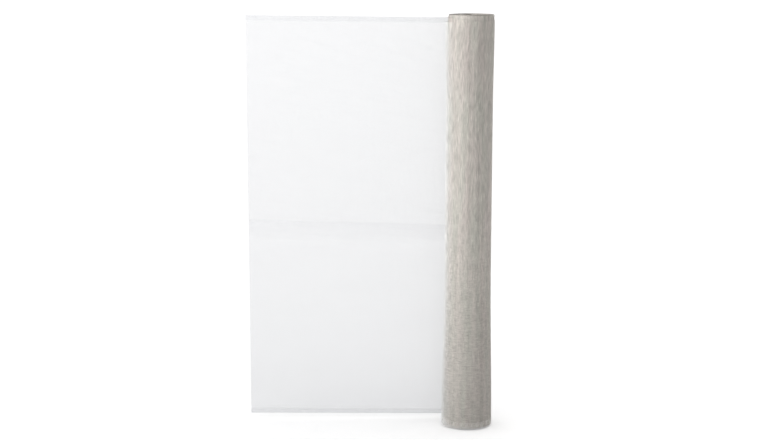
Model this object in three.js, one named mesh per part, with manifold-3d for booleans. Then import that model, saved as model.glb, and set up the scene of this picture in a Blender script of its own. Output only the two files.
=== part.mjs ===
// A roll of woven aluminium insect screen, standing on its end with its free end drawn out to one side.
// The web is one piece: it is wound into a roll with an open bore, its outermost turn has sprung loose
// on one side, and it leaves the back of the roll as a flat tail. Inner turns have crept upwards,
// so each end of the roll shows its turns as a spiral stair.
// Millimetres, +Z up. The origin is on the floor, in the middle of the whole footprint.
import * as THREE from 'three';
import { mergeVertices } from 'three/addons/utils/BufferGeometryUtils.js';
import Module from 'manifold-3d';

// The web
const screenWidth = 1200;
const wireDiameter = 0.28;
const meshThickness = 2 * wireDiameter;

// The wound roll
const boreRadius = 22;
const waistRadius = 65;
const footFlare = 6.4;
const footFlareHeight = 460;
const headFlare = 2.5;
const headFlareHeight = 260;

// The drawn-out tail holds the roll straight where it leaves. The flares grow over this angle to each side.
const flareEaseAngle = 70;

// The turns that show on each end. The last ones, at the rim, are thinner.
const turnsShown = 12;
const rimTurns = 2;
const rimTurnWidth = 1.2;

// How far the inner turns stand above those at the rim, and how unevenly
const creepHeight = 22.5;
const creepTurns = 1;
const creepRipple = 1.5;
const creepRippleTurns = 2.6;

// The loose outermost turn: how far it bulges, and the arc of its bulge in degrees on from leaveAngle
const looseGap = 8;
const looseStart = 20;
const looseEnd = 160;

// The tail: its length from where it leaves the roll, and the angle round the roll at which it leaves
const tailLength = 652;
const leaveAngle = 91.6;
const tailStartLift = 11;
const tailEndLift = 19;

// The faint fold along the tail, as heights above its lower edge
const foldHeightAtRoll = 583;
const foldHeightAtEnd = 596;
const foldDepth = 1;
const foldHalfWidth = 14;

// How finely the shapes are divided
const roundSteps = 40;
const flareRows = 6;
const tailSteps = 10;

const colour = 0xc3c1bc;

const smooth = (t) => THREE.MathUtils.smoothstep(t, 0, 1);
const mix = THREE.MathUtils.lerp;
const radians = THREE.MathUtils.degToRad;

// The roll's outer radius at a height, after a share of one round from where the tail leaves: a waist
// with a flared foot and a slightly flared head.
function rollRadius(z, share) {
  const foot = footFlare * smooth(1 - z / footFlareHeight);
  const head = headFlare * smooth((z - screenWidth + headFlareHeight) / headFlareHeight);
  const degreesFromTail = 360 * Math.min(share, 1 - share);
  return waistRadius + (foot + head) * smooth(degreesFromTail / flareEaseAngle);
}

// How far a turn has crept up, counted in shown turns from the bore. The rim stands on the floor.
// The first turn has no ripple, so that the spiral closes on the bore without a step.
function creep(turn) {
  const inward = smooth((turnsShown - rimTurns + 1 - turn) / creepTurns);
  const awayFromBore = smooth(turn - 1);
  const ripple = creepRipple * awayFromBore * Math.sin((2 * Math.PI * turn) / creepRippleTurns);
  return inward * (creepHeight + ripple);
}

// The radius of the spiral line between two shown turns, after a share of one round.
// The first and last lines are held on the round bore and the round outside.
function spiralLine(line, share, outerRadius) {
  const turn = THREE.MathUtils.clamp(line - 1 + share, 0, turnsShown);
  const rimStart = turnsShown - rimTurns;
  const rimRadius = outerRadius - rimTurns * rimTurnWidth;
  const inner = mix(boreRadius, rimRadius, Math.min(turn, rimStart) / rimStart);
  return inner + rimTurnWidth * Math.max(0, turn - rimStart);
}

// Heights at which the outside of the roll and the sheet have a row of vertices, from 0 to screenWidth.
function wallHeights() {
  const heights = [];
  for (let row = 0; row <= flareRows; row++) {
    heights.push((footFlareHeight * row) / flareRows);
  }
  const headStart = screenWidth - headFlareHeight;
  for (let row = 0; row <= 2; row++) {
    heights.push(headStart + (headFlareHeight * row) / 2);
  }
  return heights;
}

// One closed outline of the wound roll in a half-plane through its axis, as [radius, height] pairs:
// out along the foot, up the outside, in along the head. The bore closes it.
function rollOutline(share) {
  const outline = [];
  const footRadius = rollRadius(0, share);
  const headRadius = rollRadius(screenWidth, share);
  for (let turn = 0; turn <= turnsShown; turn++) {
    const height = creep(turn + share);
    outline.push([spiralLine(turn, share, footRadius), height]);
    outline.push([spiralLine(turn + 1, share, footRadius), height]);
  }
  for (const z of wallHeights().slice(1, -1)) {
    outline.push([rollRadius(z, share), z]);
  }
  for (let turn = turnsShown; turn >= 0; turn--) {
    const height = screenWidth + creep(turn + share);
    outline.push([spiralLine(turn + 1, share, headRadius), height]);
    outline.push([spiralLine(turn, share, headRadius), height]);
  }
  return outline;
}

// A closed solid from rows of points: each row joins the next, and each row closes on itself.
function solidFromLoops(loops) {
  const count = loops[0].length;
  const positions = loops.flat(2);
  const index = [];
  for (let row = 0; row < loops.length - 1; row++) {
    for (let i = 0; i < count; i++) {
      const next = (i + 1) % count;
      const [a, b] = [row * count + i, row * count + next];
      const [c, d] = [(row + 1) * count + i, (row + 1) * count + next];
      index.push(a, c, b, b, c, d);
    }
  }
  return { positions, index };
}

// The wound roll: its outline carried once round the axis while its spiral lines move out by one turn.
function woundRoll() {
  const loops = [];
  for (let step = 0; step <= roundSteps; step++) {
    const angle = radians(leaveAngle + (360 * step) / roundSteps);
    const outline = rollOutline(step / roundSteps);
    loops.push(outline.map(([r, z]) => [r * Math.cos(angle), r * Math.sin(angle), z]));
  }
  return solidFromLoops(loops);
}

// Where the middle of the sheet lies in plan, round the roll, at a height. It starts inside the roll's
// surface, bulges on the left and lies on that surface everywhere else, half sunk into it.
function looseTurnPoint(share, z) {
  const degrees = 360 * share;
  const rise = smooth(degrees / looseStart);
  const bulge = THREE.MathUtils.clamp((degrees - looseStart) / (looseEnd - looseStart), 0, 1);
  const sink = meshThickness * (1 - rise);
  const radius = rollRadius(z, share) - sink + looseGap * Math.sin(Math.PI * bulge) ** 2;
  const angle = radians(leaveAngle + degrees);
  return [radius * Math.cos(angle), radius * Math.sin(angle)];
}

// Where the middle of the sheet lies in plan along the tail: it runs straight off the back of the roll.
function tailPoint(share) {
  const along = tailLength * share;
  const [cos, sin] = [Math.cos(radians(leaveAngle)), Math.sin(radians(leaveAngle))];
  return [waistRadius * cos - along * sin, waistRadius * sin + along * cos];
}

// The fold's bend of the sheet at a height above its lower edge: a low ridge along the tail.
function foldOffset(share, height) {
  const middle = mix(foldHeightAtRoll, foldHeightAtEnd, share);
  const away = Math.min(1, Math.abs(height - middle) / foldHalfWidth);
  return foldDepth * (1 - away) * smooth(share * tailSteps);
}

// Heights of the sheet's rows above its lower edge, with three rows along the fold.
function sheetHeights(share) {
  const fold = mix(foldHeightAtRoll, foldHeightAtEnd, share);
  const heights = [...wallHeights(), fold - foldHalfWidth, fold, fold + foldHalfWidth];
  return heights.sort((a, b) => a - b);
}

// The loose turn and the tail as one thin solid. At each station along the web, one closed loop of
// points goes up its outer face and down its inner face.
function looseSheet() {
  const stations = [];
  for (let step = 0; step <= roundSteps; step++) {
    const share = step / roundSteps;
    stations.push({ at: (z) => looseTurnPoint(share, z), lift: tailStartLift * share, tail: 0 });
  }
  for (let step = 1; step <= tailSteps; step++) {
    const share = step / tailSteps;
    const lift = mix(tailStartLift, tailEndLift, share);
    stations.push({ at: () => tailPoint(share), lift, tail: share });
  }
  const loops = stations.map((station, i) => {
    const before = stations[Math.max(0, i - 1)];
    const after = stations[Math.min(stations.length - 1, i + 1)];
    const outer = [];
    const inner = [];
    for (const height of sheetHeights(station.tail)) {
      const [x, y] = station.at(height);
      const [x0, y0] = before.at(height);
      const [x1, y1] = after.at(height);
      const length = Math.hypot(x1 - x0, y1 - y0);
      const [outX, outY] = [(y1 - y0) / length, (x0 - x1) / length];
      const fold = foldOffset(station.tail, height);
      const half = meshThickness / 2;
      const z = height + station.lift;
      outer.push([x + outX * (fold + half), y + outY * (fold + half), z]);
      inner.push([x + outX * (fold - half), y + outY * (fold - half), z]);
    }
    return [...outer, ...inner.reverse()];
  });
  const sheet = solidFromLoops(loops);
  capLoop(sheet, loops, 0);
  capLoop(sheet, loops, loops.length - 1);
  return sheet;
}

// Closes the first or last loop of a sheet, whose outer points run up and inner points run down.
function capLoop(sheet, loops, row) {
  const count = loops[0].length;
  const base = row * count;
  const first = row === 0;
  for (let i = 0; i < count / 2 - 1; i++) {
    const [a, b] = [base + i, base + i + 1];
    const [c, d] = [base + count - 1 - i, base + count - 2 - i];
    const triangles = first ? [a, b, c, b, d, c] : [a, c, b, b, c, d];
    sheet.index.push(...triangles);
  }
}

// A mesh of positions and triangles as a closed solid for joining, with shared points merged.
function toSolid(wasm, { positions, index }) {
  const loose = new THREE.BufferGeometry();
  loose.setAttribute('position', new THREE.Float32BufferAttribute(positions, 3));
  loose.setIndex(index);
  const merged = mergeVertices(loose, 1e-3);
  const triVerts = [];
  const corners = merged.index.array;
  for (let i = 0; i < corners.length; i += 3) {
    const [a, b, c] = [corners[i], corners[i + 1], corners[i + 2]];
    if (a !== b && b !== c && c !== a) {
      triVerts.push(a, b, c);
    }
  }
  const vertProperties = new Float32Array(merged.attributes.position.array);
  const mesh = new wasm.Mesh({ numProp: 3, vertProperties, triVerts: new Uint32Array(triVerts) });
  return new wasm.Manifold(mesh);
}

// A joined solid as a geometry with its own flat normals.
function toGeometry(solid) {
  const { vertProperties, triVerts } = solid.getMesh();
  const geometry = new THREE.BufferGeometry();
  geometry.setAttribute('position', new THREE.Float32BufferAttribute(vertProperties, 3));
  geometry.setIndex([...triVerts]);
  geometry.computeVertexNormals();
  geometry.computeBoundingBox();
  return geometry;
}

const wasm = await Module();
wasm.setup();

const geometry = toGeometry(toSolid(wasm, woundRoll()).add(toSolid(wasm, looseSheet())));
const aluminium = new THREE.MeshStandardMaterial({ color: colour, roughness: 0.45, metalness: 0.8 });
const screen = new THREE.Mesh(geometry, aluminium);
screen.name = 'insect_screen';

// The roll is built round its own axis, then moved so that the footprint's middle is the origin.
const middle = geometry.boundingBox.getCenter(new THREE.Vector3());
screen.position.set(-middle.x, -middle.y, -geometry.boundingBox.min.z);

const roll = new THREE.Group();
roll.add(screen);

export default roll;
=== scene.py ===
"""A roll of woven aluminium insect screen, standing on its end with its free end drawn out to the left.

Two pieces stand for the one woven web: the tightly wound turns, and the loose outer turns with the
drawn-out tail, which are single layers of see-through mesh. Metres, +Z up.

On the roll, share is the part of one round gone since the tail left it. On the tail, share is the part
of the tail's length gone since the roll.
"""
import math

import bpy
import numpy as np
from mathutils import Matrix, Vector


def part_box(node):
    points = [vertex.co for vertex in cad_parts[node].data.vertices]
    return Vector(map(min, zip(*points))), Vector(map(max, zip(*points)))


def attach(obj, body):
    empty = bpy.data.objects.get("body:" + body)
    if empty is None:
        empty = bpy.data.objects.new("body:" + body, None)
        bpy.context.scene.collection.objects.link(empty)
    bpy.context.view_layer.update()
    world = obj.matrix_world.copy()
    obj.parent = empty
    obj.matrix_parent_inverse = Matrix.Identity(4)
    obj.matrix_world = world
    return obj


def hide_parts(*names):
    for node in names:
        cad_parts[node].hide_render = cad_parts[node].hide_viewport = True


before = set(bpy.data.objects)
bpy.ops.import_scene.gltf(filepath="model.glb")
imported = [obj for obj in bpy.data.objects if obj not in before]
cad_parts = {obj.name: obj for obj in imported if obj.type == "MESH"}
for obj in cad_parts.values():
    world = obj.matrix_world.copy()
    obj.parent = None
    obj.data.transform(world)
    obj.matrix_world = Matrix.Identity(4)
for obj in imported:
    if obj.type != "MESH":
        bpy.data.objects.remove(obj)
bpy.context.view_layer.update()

# The web, and its plain weave
SCREEN_WIDTH = 1.2
MESH_THICKNESS = 0.00056
WIRE_RADIUS = 0.00014
WARP_PITCH = 0.0254 / 18
WEFT_PITCH = 0.0254 / 16

# The border along both long edges of the web, which shows on the tail: its width, the share of that
# width that is evenly dense before it fades, and how far its holes are filled
SELVEDGE = 0.018
SELVEDGE_EVEN = 0.7
SELVEDGE_DENSITY = 0.13

# The roll
BORE_RADIUS = 0.022
WAIST_RADIUS = 0.065
FOOT_FLARE = 0.0064
FOOT_FLARE_HEIGHT = 0.46
HEAD_FLARE = 0.0025
HEAD_FLARE_HEIGHT = 0.26
FLARE_EASE = 70 / 360
LEAVE_ANGLE = math.radians(91.6)

# Turns of the web. The outermost few are single see-through layers, a little apart.
WOUND_TURNS = 85
LOOSE_TURNS = 3
LOOSE_PITCH = 0.0008

# The ends of the roll: the part of a turn's pitch that is mesh, the depth of the groove to the next turn,
# how far the inner turns stand above the outermost, within how many turns, and how uneven they are
TURN_FILL = 0.7
GROOVE_DEPTH = 0.003
CREEP_HEIGHT = 0.0235
CREEP_TURNS = 1.2
CREEP_RIPPLE = 0.0011

# The sine waves of that unevenness: part of the whole, radians for one turn, and radians at the start
RIPPLE_WAVES = ((0.45, 0.9, 0.0), (0.35, 0.37, 1.3), (0.2, 2.3, 0.4))

# How far the pattern of streaks moves on from one turn to the next, so that no streak crosses the turns
TURN_SHIFT = 0.05

# How far the loose outer turns bulge, from the innermost out, and the stretch of the round where they do
LOOSE_GAPS = (0.0005, 0.0015, 0.0078)
LOOSE_START = 20 / 360
LOOSE_END = 160 / 360

# The tail
TAIL_LENGTH = 0.652
TAIL_START_LIFT = 0.011
TAIL_END_LIFT = 0.019

# The faint fold along the tail, as heights above its lower edge. It grows over a share of the tail.
FOLD_AT_ROLL = 0.583
FOLD_AT_END = 0.596
FOLD_DEPTH = 0.001
FOLD_HALF_WIDTH = 0.014
FOLD_EASE = 0.1

# Painted shade just below the fold, made by filling the mesh's holes there: how far they are filled, and
# the distances below the fold's middle between which it comes in and goes out. The selvedges' filling and
# this painted shade come in over a first share of the tail.
FOLD_PAINTED_SHADE = 0.08
FOLD_SHADE_FROM = (-0.004, 0.002)
FOLD_SHADE_TO = (0.004, 0.06)
FILL_AND_SHADE_EASE = 0.02

# How finely the pieces are divided. Points that fall in one step of the welding grid become one.
ROUND_STEPS = 72
TAIL_STEPS = 24
FOOT_ROWS = 12
HEAD_ROWS = 6
FOLD_ROWS = 5
SHARP_ANGLE = math.radians(40)
WELD_STEPS_PER_METRE = 1e7

# Colours of the wires, with light painted in. Light that goes from turn to turn in the roll comes back
# warmer than off the tail, so the roll's wires are painted warmer than the tail's; the outermost turn is
# painted palest, a painted highlight, where it stands clear of the roll. The gap colour is painted shade,
# for the shaded turns behind the holes.
WARM_WIRE = (0.58, 0.53, 0.497)
GREEN_WIRE = (0.528, 0.52, 0.471)
GAP_PAINTED_SHADE = (0.197, 0.181, 0.165)
TAIL_COLOUR = (0.455, 0.462, 0.48)
CLEAR_PAINTED_HIGHLIGHT = (0.86, 0.86, 0.85)
METALLIC = 0.25
ROUGHNESS = (0.5, 0.66)
WEAVE_BUMP = 0.35

# Where a wire ends and a hole begins, in wire radii from the wire's middle
WIRE_EDGE = (0.9, 1.1)

# Painted shade low down: the roll's colour darkens towards the foot, by this factor at the floor, up to
# this height
FOOT_PAINTED_SHADE = 0.8
FOOT_PAINTED_SHADE_HEIGHT = 0.5

# The length of web over which the roll's colour goes over to the tail's, the part of the bulge from its
# middle in which the outermost turn carries its painted highlight, and how far it is kept free of the
# painted foot shade there
TAIL_BLEND = 0.03
PAINTED_HIGHLIGHT_PART = 0.6
CLEAR_OF_SHADE = 0.9

# The web's uneven tone. Each pattern has a scale along and across the web and an amount. Dashes grow
# and bars fade between two heights.
BEND_SCALE = (7, 7, 7)
BEND = 0.03
WIDE_SCALE = (70, 5, 1)
WIDE_AMOUNT = 0.35
DASH_SCALE = (300, 34, 1)
DASH_HEIGHTS = (0.2, 0.6)
DASH_AMOUNTS = (0.7, 1.5)
BAR_SCALE = (60, 260, 1)
BAR_HEIGHTS = (0.35, 0.75)
BAR_AMOUNTS = (1.0, 0.3)
PATCH_SCALE = (40, 4, 1)
PATCH_EDGES = (0.35, 0.65)
ROLL_STRENGTH = 0.9
TAIL_STRENGTH = 0.2

# Length of web in the loose turns, where the tail begins in the web's own measure, and where along it
# the outermost turn bulges clear of the roll
ROUND_LENGTH = 2 * math.pi * WAIST_RADIUS
LOOSE_LENGTH = LOOSE_TURNS * ROUND_LENGTH
BULGE_MIDDLE = LOOSE_LENGTH + ROUND_LENGTH * ((LOOSE_START + LOOSE_END) / 2 - 1)
BULGE_HALF = ROUND_LENGTH * (LOOSE_END - LOOSE_START) / 2

# The roll's axis in the frame, from the CAD box: the flared foot reaches its right and front sides
CAD_LOW, CAD_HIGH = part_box("insect_screen")
FOOT_RADIUS = WAIST_RADIUS + FOOT_FLARE + MESH_THICKNESS / 2
AXIS_X = CAD_HIGH[0] - FOOT_RADIUS
AXIS_Y = CAD_LOW[1] + FOOT_RADIUS

# The studio floor
FLOOR_HALF = 40.0
FLOOR_SCALE = (3, 3, 3)
FLOOR_EDGES = (0.3, 0.7)
FLOOR_TONES = (0.90, 0.92)
FLOOR_ROUGHNESS = 0.9
FLOOR_GLOW = 0.18

# The lamp, measured from the roll's foot
LAMP_PLACE = (-2.3, -2.0, 2.2)
LAMP_AIM = (0.0, 0.0, 0.9)
LAMP_SIZE = 1.8
LAMP_POWER = 112

# The photograph's camera, measured from the roll's foot
PHOTO_WIDTH = 760
SENSOR_WIDTH = 36
CAMERA_PLACE = (-0.263, -4.738, 1.505)
CAMERA_PITCH = math.radians(10.55)
CAMERA_REACH = 200
FOCAL_PIXELS = 1639


def smooth(t):
    """0 below 0, 1 above 1, and an even S between: 3 t squared minus 2 t cubed."""
    t = np.clip(t, 0, 1)
    return t * t * (3 - 2 * t)


def ripple(turn):
    """Uneven heights of the wound turns, from -1 to 1: the sum of part times sin(rate turn + start)."""
    return sum(part * np.sin(turn * rate + start) for part, rate, start in RIPPLE_WAVES)


def roll_radius(z, share):
    """Outer radius of the roll at a height: a waist, a flared foot and a slightly flared head.

    Both flares are smooth S curves over their heights, and both ease to nothing at the tail.
    """
    foot = FOOT_FLARE * smooth(1 - z / FOOT_FLARE_HEIGHT)
    head = HEAD_FLARE * smooth((z - SCREEN_WIDTH + HEAD_FLARE_HEIGHT) / HEAD_FLARE_HEIGHT)
    from_tail = np.minimum(share, 1 - share)
    return WAIST_RADIUS + (foot + head) * smooth(from_tail / FLARE_EASE)


def creep(turns_in):
    """How far a turn stands above the outermost one, by how many turns further in it lies.

    It eases to its full height within CREEP_TURNS, with a ripple from turn to turn.
    """
    inward = smooth(turns_in / CREEP_TURNS)
    return inward * (CREEP_HEIGHT - CREEP_RIPPLE + CREEP_RIPPLE * ripple(turns_in))


def wall_heights():
    """Heights with a row of vertices: closer together where the roll flares than at its waist."""
    foot = np.linspace(0, FOOT_FLARE_HEIGHT, FOOT_ROWS)
    head = np.linspace(SCREEN_WIDTH - HEAD_FLARE_HEIGHT, SCREEN_WIDTH, HEAD_ROWS)
    return np.concatenate([foot, head])


def welded(points, faces, uv):
    """Points that coincide become one, and faces with no area go. Returns points, faces, corner UVs."""
    _, first, index = np.unique(np.round(points * WELD_STEPS_PER_METRE).astype(np.int64), axis=0,
                                return_index=True, return_inverse=True)
    index = index.ravel().tolist()
    polygons = []
    corners = []
    for face in faces.tolist():
        kept = [c for i, c in enumerate(face) if index[c] != index[face[i - 1]]]
        if len({index[c] for c in kept}) == len(kept) > 2:
            polygons.append([index[c] for c in kept])
            corners.extend(kept)
    return points[first], polygons, uv[np.array(corners)]


def grid_faces(stations, count):
    """Quads between stations of count points, where each station's points close on themselves."""
    station = np.arange(stations - 1)[:, None]
    point = np.arange(count)[None, :]
    after = (point + 1) % count
    quads = [station * count + point, station * count + after,
             (station + 1) * count + after, (station + 1) * count + point]
    return np.stack(quads, axis=-1).reshape(-1, 4)


def add_piece(name, points, polygons, corner_uv, material):
    """A smooth-shaded piece with its place in its mesh and a UV map of metres along and across the web."""
    mesh = bpy.data.meshes.new(name)
    mesh.from_pydata(points.tolist(), [], polygons)
    layer = mesh.uv_layers.new(name="web")
    layer.data.foreach_set("uv", corner_uv.astype(np.float32).ravel())
    mesh.materials.append(material)
    mesh.update()
    piece = bpy.data.objects.new(name, mesh)
    bpy.context.collection.objects.link(piece)
    mesh.shade_smooth()
    mesh.set_sharp_from_angle(angle=SHARP_ANGLE)
    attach(piece, "root")
    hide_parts("insect_screen")
    return piece


def wound_profile(share):
    """The wound turns cut by a half-plane through the axis, as arrays of radius, height and turn.

    Out along the foot, where each turn is a ridge and the space to the next a groove, up the outside, and
    in along the head. An edge e turns from the bore lies at bore + (wall - bore) e / WOUND_TURNS, and e
    grows by one in one round, so the edges are spirals.
    """
    turn = np.arange(WOUND_TURNS + 1)
    out = turn - 1 + share
    edges = np.stack([out, out + TURN_FILL, out + TURN_FILL, out + 1], axis=1)
    edges = np.clip(edges, 0, WOUND_TURNS).ravel()
    rise = creep(WOUND_TURNS + LOOSE_TURNS - 1 - turn - share)
    depth = np.array([0, 0, GROOVE_DEPTH, GROOVE_DEPTH])
    foot = (rise[:, None] + depth).ravel()
    head = (rise[:, None] + SCREEN_WIDTH - depth).ravel()

    def radius(z):
        """Radii of all edges on the end at a height."""
        wall = roll_radius(z, share) - LOOSE_TURNS * LOOSE_PITCH
        return BORE_RADIUS + (wall - BORE_RADIUS) * edges / WOUND_TURNS

    wall_z = wall_heights()[1:-1]
    wall_r = roll_radius(wall_z, share) - LOOSE_TURNS * LOOSE_PITCH
    wall_turn = np.full(wall_z.size, WOUND_TURNS)
    turns = np.repeat(turn, len(depth))
    r = np.concatenate([radius(0), wall_r, radius(SCREEN_WIDTH)[::-1]])
    z = np.concatenate([foot, wall_z, head[::-1]])
    return r, z, np.concatenate([turns, wall_turn, turns[::-1]])


def wound_turns(material):
    """The tightly wound turns: wound_profile carried once round the axis. The turns show on both ends."""
    points = []
    uv = []
    for share in np.linspace(0, 1, ROUND_STEPS + 1):
        r, z, turn = wound_profile(share)
        angle = LEAVE_ANGLE + 2 * math.pi * share
        points.append(np.stack([AXIS_X + r * math.cos(angle), AXIS_Y + r * math.sin(angle), z], axis=1))
        along = ROUND_LENGTH * share + TURN_SHIFT * (WOUND_TURNS - turn)
        uv.append(np.stack([along, z], axis=1))
    faces = grid_faces(len(points), len(points[0]))
    return add_piece("wound_turns", *welded(np.concatenate(points), faces, np.concatenate(uv)), material)


def loose_plan(turn, heights):
    """Plan positions of the loose web round the roll, at a turn counted from where it leaves the wound
    turns. It lies on the roll, and stands off it by a gap times sin squared along the bulge.
    """
    share = turn % 1.0
    bulge = np.clip((share - LOOSE_START) / (LOOSE_END - LOOSE_START), 0, 1)
    gap = LOOSE_GAPS[int(turn)] * math.sin(math.pi * bulge) ** 2
    inset = (LOOSE_TURNS - turn) * LOOSE_PITCH
    r = roll_radius(heights, share) - inset + gap
    angle = LEAVE_ANGLE + 2 * math.pi * share
    return np.stack([r * math.cos(angle), r * math.sin(angle)], axis=1)


def loose_lift(turn):
    """How far the loose web is off the floor at a turn. It comes down to the floor as the last turn
    begins, and rises along that turn to the tail's start.
    """
    last = turn - (LOOSE_TURNS - 1)
    return TAIL_START_LIFT * last if last > 0 else creep(-last)


def tail_plan(share, heights):
    """Plan positions of the web along the tail, which runs straight off the back of the roll."""
    along = TAIL_LENGTH * share
    x = WAIST_RADIUS * math.cos(LEAVE_ANGLE) - along * math.sin(LEAVE_ANGLE)
    y = WAIST_RADIUS * math.sin(LEAVE_ANGLE) + along * math.cos(LEAVE_ANGLE)
    return np.broadcast_to([x, y], (heights.size, 2))


def fold_middle(share):
    """Height of the fold's middle above the web's lower edge."""
    return FOLD_AT_ROLL + (FOLD_AT_END - FOLD_AT_ROLL) * share


def fold_offset(share, heights):
    """The faint fold along the tail: a cosine ridge across the web, growing from nothing at the roll."""
    away = np.clip((heights - fold_middle(share)) / FOLD_HALF_WIDTH, -1, 1)
    return FOLD_DEPTH * (0.5 + 0.5 * np.cos(math.pi * away)) * smooth(share / FOLD_EASE)


def sheet_heights(share):
    """Heights of the rows above the web's lower edge, with some along the fold."""
    fold = fold_middle(share) + FOLD_HALF_WIDTH * np.linspace(-1, 1, FOLD_ROWS)
    return np.sort(np.concatenate([wall_heights(), fold]))


def loose_course():
    """The loose web's stations: the loose turns, then the tail.

    Arrays with one row for each station: plan positions, heights above the web's lower edge, lifts off
    the floor, lengths along the web, and fold offsets.
    """
    turns = np.linspace(0, LOOSE_TURNS, LOOSE_TURNS * ROUND_STEPS + 1)[:-1]
    shares = np.linspace(0, 1, TAIL_STEPS + 1)
    rolled = sheet_heights(0)
    rows = [rolled] * turns.size + [sheet_heights(share) for share in shares]
    plan = [loose_plan(turn, rolled) for turn in turns]
    plan += [tail_plan(share, row) for share, row in zip(shares, rows[turns.size:])]
    lifts = [loose_lift(turn) for turn in turns]
    lifts += list(TAIL_START_LIFT + (TAIL_END_LIFT - TAIL_START_LIFT) * shares)
    along = np.concatenate([ROUND_LENGTH * turns, LOOSE_LENGTH + TAIL_LENGTH * shares])
    on_tail = np.concatenate([np.zeros(turns.size), shares])
    fold = [fold_offset(share, row) for share, row in zip(on_tail, rows)]
    return np.array(plan), np.array(rows), np.array(lifts), along, np.array(fold)


def loose_web(material):
    """The loose outer turns and the tail: one thin closed shell, a strip swept along the web's course.

    At each station the strip goes up its outer face and down its inner face, each half the mesh's
    thickness from the middle along the course's normal.
    """
    plan, rows, lifts, along, fold = loose_course()
    forward = np.gradient(plan, axis=0)
    length = np.linalg.norm(forward, axis=2, keepdims=True)
    out = np.stack([forward[..., 1], -forward[..., 0]], axis=2) / length
    outer = plan + out * (fold[..., None] + MESH_THICKNESS / 2) + [AXIS_X, AXIS_Y]
    inner = plan + out * (fold[..., None] - MESH_THICKNESS / 2) + [AXIS_X, AXIS_Y]
    z = (rows + lifts[:, None])[..., None]
    outer = np.concatenate([outer, z], axis=2)
    inner = np.concatenate([inner, z], axis=2)
    loops = np.concatenate([outer, inner[:, ::-1]], axis=1)
    across = np.concatenate([rows, rows[:, ::-1]], axis=1)
    uv = np.stack([along[:, None] * np.ones_like(across), across], axis=2)
    stations, count = loops.shape[:2]
    row = np.arange(count // 2 - 1)
    first = np.stack([row, count - 1 - row, count - 2 - row, row + 1], axis=1)
    last = first[:, ::-1] + (stations - 1) * count
    faces = np.concatenate([grid_faces(stations, count), first, last])
    return add_piece("loose_web", *welded(loops.reshape(-1, 3), faces, uv.reshape(-1, 2)), material)


class Nodes:
    """A short way to build a node tree: math, mix and other nodes, each linked as it is made."""

    def __init__(self, tree):
        self.tree = tree

    def add(self, kind, inputs=(), **settings):
        """A node of a kind with its settings. inputs maps socket names or numbers to sockets or values."""
        node = self.tree.nodes.new(kind)
        for key, value in settings.items():
            setattr(node, key, value)
        for key, value in dict(inputs).items():
            self.join(value, node.inputs[key])
        return node

    def join(self, value, socket):
        """Links a socket, or sets a plain value."""
        if isinstance(value, bpy.types.NodeSocket):
            self.tree.links.new(value, socket)
        else:
            socket.default_value = value

    def split(self, vector):
        """The first two parts of a vector: for the web, the metres along it and across it."""
        parts = self.add("ShaderNodeSeparateXYZ", {0: vector}).outputs
        return parts[0], parts[1]

    def math(self, operation, first, second=0.0):
        """A Math node's value."""
        return self.add("ShaderNodeMath", {0: first, 1: second}, operation=operation).outputs[0]

    def noise(self, vector, scale, detail=1.0):
        """A noise texture's value, from 0 to 1. The vector is stretched by a scale for each axis."""
        stretched = self.add("ShaderNodeMapping", {"Vector": vector, "Scale": scale}).outputs[0]
        inputs = {"Vector": stretched, "Scale": 1.0, "Detail": detail}
        return self.add("ShaderNodeTexNoise", inputs).outputs["Fac"]

    def remap(self, value, low, high, to_low, to_high):
        """A value taken from one range to another and held inside it."""
        inputs = {"Value": value, "From Min": low, "From Max": high, "To Min": to_low, "To Max": to_high}
        return self.add("ShaderNodeMapRange", inputs, clamp=True).outputs[0]

    def mix(self, factor, first, second, blend="MIX"):
        """Two colours mixed. A Mix node's colour sockets are its inputs 6 and 7 and its output 2."""
        inputs = {0: factor, 6: first, 7: second}
        return self.add("ShaderNodeMix", inputs, data_type="RGBA", blend_type=blend).outputs[2]


def new_group(name, inputs, outputs):
    """A shader node group with named sockets. Returns its tree, its Nodes and its two end nodes."""
    tree = bpy.data.node_groups.new(name, "ShaderNodeTree")
    for label, kind in inputs:
        tree.interface.new_socket(label, in_out="INPUT", socket_type=kind)
    for label, kind in outputs:
        tree.interface.new_socket(label, in_out="OUTPUT", socket_type=kind)
    nodes = Nodes(tree)
    return tree, nodes, nodes.add("NodeGroupInput"), nodes.add("NodeGroupOutput")


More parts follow.
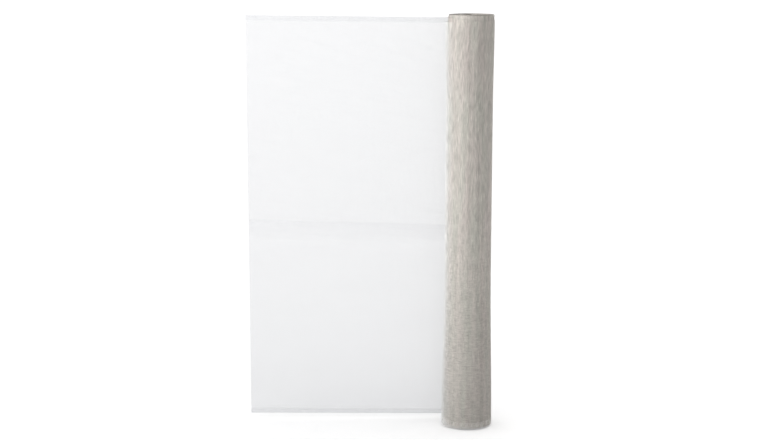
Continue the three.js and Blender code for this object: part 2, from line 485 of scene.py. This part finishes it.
def weave_group():
    """Plain weave in real size. Wires run along and across the web and go over and under each other.

    Cover is 1 on a wire and 0 in a hole. Height is a wire's round top, raised or sunk at the crossings.
    """
    tree, n, start, end = new_group(
        "plain_weave", [("Web", "NodeSocketVector"), ("Wire Radius", "NodeSocketFloat")],
        [("Cover", "NodeSocketFloat"), ("Height", "NodeSocketFloat")])
    along, across = n.split(start.outputs["Web"])
    along = n.math("DIVIDE", along, WEFT_PITCH)
    across = n.math("DIVIDE", across, WARP_PITCH)

    def wire(place, pitch, other, sign):
        """One set of wires: its mask and its height, from the place across them and along them."""
        from_middle = n.math("ABSOLUTE", n.math("SUBTRACT", n.math("FRACT", place), 0.5))
        distance = n.math("DIVIDE", n.math("MULTIPLY", from_middle, pitch), start.outputs["Wire Radius"])
        mask = n.remap(distance, *WIRE_EDGE, 1.0, 0.0)
        ratio = n.math("MINIMUM", distance, 1.0)
        top = n.math("SQRT", n.math("SUBTRACT", 1.0, n.math("MULTIPLY", ratio, ratio)))
        phase = n.math("ADD", n.math("MULTIPLY", other, math.pi),
                       n.math("MULTIPLY", n.math("FLOOR", place), math.pi))
        wave = n.math("MULTIPLY", n.math("SINE", phase), sign)
        height = n.math("MULTIPLY", n.math("ADD", n.math("ADD", top, wave), 1.0), mask)
        return mask, height

    warp_mask, warp_height = wire(across, WARP_PITCH, along, 1.0)
    weft_mask, weft_height = wire(along, WEFT_PITCH, across, -1.0)
    n.join(n.math("MAXIMUM", warp_mask, weft_mask), end.inputs["Cover"])
    n.join(n.math("MAXIMUM", warp_height, weft_height), end.inputs["Height"])
    return tree


def tone_and_foot_shade_group():
    """How the web's tone wanders: upright streaks and dashes where layers of mesh beat together, short
    level bars lower down, large patches of two wire colours, and a painted shade that darkens the foot.

    Strength is that of streaks, dashes and bars. Off Roll is 1 where the web has left the roll, and the
    painted foot shade is gone there. Shade is a factor for the colour: the streaks' tone times the painted
    shade.
    """
    tree, n, start, end = new_group(
        "mesh_tone_and_foot_shade",
        [("Web", "NodeSocketVector"), ("Strength", "NodeSocketFloat"), ("Off Roll", "NodeSocketFloat")],
        [("Colour", "NodeSocketColor"), ("Shade", "NodeSocketFloat"), ("Roughness", "NodeSocketFloat")])
    web = start.outputs["Web"]
    along, across = n.split(web)
    bent = n.math("ADD", along, n.math("MULTIPLY", n.noise(web, BEND_SCALE), BEND))
    leaning = n.add("ShaderNodeCombineXYZ", {0: bent, 1: across}).outputs[0]
    wide = n.math("SUBTRACT", n.noise(leaning, WIDE_SCALE), 0.5)
    dashes = n.math("SUBTRACT", n.noise(leaning, DASH_SCALE), 0.5)
    bars = n.math("SUBTRACT", n.noise(web, BAR_SCALE), 0.5)
    dash_part = n.math("MULTIPLY", dashes, n.remap(across, *DASH_HEIGHTS, *DASH_AMOUNTS))
    bar_part = n.math("MULTIPLY", bars, n.remap(across, *BAR_HEIGHTS, *BAR_AMOUNTS))
    upright = n.math("ADD", n.math("MULTIPLY", wide, WIDE_AMOUNT), dash_part)
    both = n.math("ADD", upright, bar_part)
    uneven = n.math("ADD", n.math("MULTIPLY", both, start.outputs["Strength"]), 1.0)
    # Painted shade: the colour darkens towards the foot of the roll, but not where the web is off the roll
    foot = n.remap(across, 0.0, FOOT_PAINTED_SHADE_HEIGHT, FOOT_PAINTED_SHADE, 1.0)
    foot = n.math("MAXIMUM", foot, start.outputs["Off Roll"])
    n.join(n.math("MULTIPLY", uneven, foot), end.inputs["Shade"])
    patches = n.noise(web, PATCH_SCALE, 2.0)
    tint = n.remap(patches, *PATCH_EDGES, 0.0, 1.0)
    n.join(n.mix(tint, (*WARM_WIRE, 1), (*GREEN_WIRE, 1)), end.inputs["Colour"])
    n.join(n.remap(patches, 0.0, 1.0, *ROUGHNESS), end.inputs["Roughness"])
    return tree


def opening(n, along, across, cover):
    """How solid the see-through mesh is at a place: 1 on a wire and 0 in a hole of the roll's turns.

    On the tail the holes are a little filled along both selvedges, and just below the fold as a painted
    shade.
    """
    edge = n.math("MINIMUM", across, n.math("SUBTRACT", SCREEN_WIDTH, across))
    selvedge = n.remap(edge, SELVEDGE * SELVEDGE_EVEN, SELVEDGE, SELVEDGE_DENSITY, 0.0)
    on_tail = n.math("DIVIDE", n.math("SUBTRACT", along, LOOSE_LENGTH), TAIL_LENGTH)
    fold = n.remap(on_tail, 0.0, 1.0, FOLD_AT_ROLL, FOLD_AT_END)
    below = n.math("SUBTRACT", fold, across)
    # Painted shade: the holes are filled in a band just below the fold, so that it shows darker
    painted_fold_shade = n.math("MULTIPLY", n.remap(below, *FOLD_SHADE_FROM, 0.0, 1.0),
                        n.remap(below, *FOLD_SHADE_TO, FOLD_PAINTED_SHADE, 0.0))
    selvedge_and_fold_shade = n.math("MULTIPLY", n.math("ADD", selvedge, painted_fold_shade),
                   n.remap(on_tail, 0.0, FILL_AND_SHADE_EASE, 0.0, 1.0))
    return n.math("MAXIMUM", cover, selvedge_and_fold_shade)


def mesh_material(name, weave, tone_and_foot_shade, see_through):
    """Woven aluminium. see_through leaves the holes open, otherwise they are painted dark, a painted shade
    for the shaded turns behind.
    """
    material = bpy.data.materials.new(name)
    material.use_nodes = True
    n = Nodes(material.node_tree)
    shader = material.node_tree.nodes["Principled BSDF"]
    web = n.add("ShaderNodeUVMap", uv_map="web").outputs[0]
    woven = n.add("ShaderNodeGroup", {"Web": web, "Wire Radius": WIRE_RADIUS}, node_tree=weave)
    uneven = n.add("ShaderNodeGroup", {"Web": web, "Strength": ROLL_STRENGTH}, node_tree=tone_and_foot_shade)
    colour = uneven.outputs["Colour"]
    if see_through:
        along, across = n.split(web)
        on_tail = n.remap(along, LOOSE_LENGTH - TAIL_BLEND, LOOSE_LENGTH, 0.0, 1.0)
        from_bulge = n.math("ABSOLUTE", n.math("SUBTRACT", along, BULGE_MIDDLE))
        # Painted highlight: the outermost turn's wires are painted pale where it bulges off the roll, and
        # kept out of the painted foot shade
        clear = n.remap(from_bulge, 0.0, PAINTED_HIGHLIGHT_PART * BULGE_HALF, 1.0, 0.0)
        colour = n.mix(clear, colour, (*CLEAR_PAINTED_HIGHLIGHT, 1))
        colour = n.mix(on_tail, colour, (*TAIL_COLOUR, 1))
        off_roll = n.math("MAXIMUM", on_tail, n.math("MULTIPLY", clear, CLEAR_OF_SHADE))
        n.join(off_roll, uneven.inputs["Off Roll"])
        n.join(n.remap(on_tail, 0.0, 1.0, ROLL_STRENGTH, TAIL_STRENGTH), uneven.inputs["Strength"])
        n.join(opening(n, along, across, woven.outputs["Cover"]), shader.inputs["Alpha"])
    else:
        # Painted shade: the roll's holes show a dark colour for the shaded turns behind them
        colour = n.mix(woven.outputs["Cover"], (*GAP_PAINTED_SHADE, 1), colour)
    n.join(n.mix(1.0, colour, uneven.outputs["Shade"], "MULTIPLY"), shader.inputs["Base Color"])
    bump = n.add("ShaderNodeBump", {"Height": woven.outputs["Height"], "Strength": WEAVE_BUMP,
                                    "Distance": WIRE_RADIUS})
    n.join(bump.outputs[0], shader.inputs["Normal"])
    n.join(uneven.outputs["Roughness"], shader.inputs["Roughness"])
    shader.inputs["Metallic"].default_value = METALLIC
    return material


def build_screen():
    """Makes and returns both pieces of the screen."""
    weave = weave_group()
    tone_and_foot_shade = tone_and_foot_shade_group()
    wound = mesh_material("wound_mesh", weave, tone_and_foot_shade, False)
    loose = mesh_material("single_mesh", weave, tone_and_foot_shade, True)
    return [wound_turns(wound), loose_web(loose)]


def build_floor():
    """A wide pale studio floor with a little light of its own, so that its far part stays white."""
    mesh = bpy.data.meshes.new("studio_floor")
    corners = [(-FLOOR_HALF, -FLOOR_HALF, 0), (FLOOR_HALF, -FLOOR_HALF, 0),
               (FLOOR_HALF, FLOOR_HALF, 0), (-FLOOR_HALF, FLOOR_HALF, 0)]
    mesh.from_pydata(corners, [], [(0, 1, 2, 3)])
    material = bpy.data.materials.new("studio_white")
    material.use_nodes = True
    n = Nodes(material.node_tree)
    shader = material.node_tree.nodes["Principled BSDF"]
    place = n.add("ShaderNodeTexCoord").outputs["Object"]
    speckle = n.remap(n.noise(place, FLOOR_SCALE, 3.0), *FLOOR_EDGES, *FLOOR_TONES)
    tone = n.add("ShaderNodeCombineColor", {0: speckle, 1: speckle, 2: speckle})
    n.join(tone.outputs[0], shader.inputs["Base Color"])
    shader.inputs["Roughness"].default_value = FLOOR_ROUGHNESS
    shader.inputs["Specular IOR Level"].default_value = 0.0
    shader.inputs["Emission Color"].default_value = (1, 1, 1, 1)
    shader.inputs["Emission Strength"].default_value = FLOOR_GLOW
    mesh.materials.append(material)
    floor = bpy.data.objects.new("studio_floor", mesh)
    bpy.context.collection.objects.link(floor)


def from_foot(offset):
    """A point in the frame, from its offset from the middle of the roll's foot."""
    return (AXIS_X + offset[0], AXIS_Y + offset[1], offset[2])


def build_light(pieces):
    """A white surround, and one large soft lamp high on the left in front, kept off the floor."""
    world = bpy.data.worlds.new("studio_surround")
    bpy.context.scene.world = world
    world.use_nodes = True
    background = world.node_tree.nodes["Background"]
    background.inputs["Color"].default_value = (1, 1, 1, 1)
    background.inputs["Strength"].default_value = 1.0
    light = bpy.data.lights.new("key_lamp", "AREA")
    light.shape = "SQUARE"
    light.size = LAMP_SIZE
    light.energy = LAMP_POWER
    lamp = bpy.data.objects.new("key_lamp", light)
    bpy.context.collection.objects.link(lamp)
    lamp.location = from_foot(LAMP_PLACE)
    away_x, away_y, away_z = [a - b for a, b in zip(LAMP_PLACE, LAMP_AIM)]
    tilt = math.atan2(math.hypot(away_x, away_y), away_z)
    lamp.rotation_euler = (tilt, 0, math.atan2(away_y, away_x) + math.pi / 2)
    lit = bpy.data.collections.new("lit_by_key_lamp")
    for piece in pieces:
        lit.objects.link(piece)
    lamp.light_linking.receiver_collection = lit


def build_camera():
    """The photograph's view: a little above the roll's head, looking down at its middle from the front."""
    camera = bpy.data.cameras.new("photo_camera")
    camera.sensor_fit = "HORIZONTAL"
    camera.sensor_width = SENSOR_WIDTH
    camera.lens = FOCAL_PIXELS * SENSOR_WIDTH / PHOTO_WIDTH
    camera.clip_end = CAMERA_REACH
    viewer = bpy.data.objects.new("photo_camera", camera)
    bpy.context.collection.objects.link(viewer)
    viewer.location = from_foot(CAMERA_PLACE)
    viewer.rotation_euler = (math.pi / 2 - CAMERA_PITCH, 0, 0)
    bpy.context.scene.camera = viewer


build_camera()
screen_pieces = build_screen()
build_floor()
build_light(screen_pieces)
bpy.context.scene.view_settings.view_transform = "Standard"
bpy.context.scene.cycles.transparent_max_bounces = 32
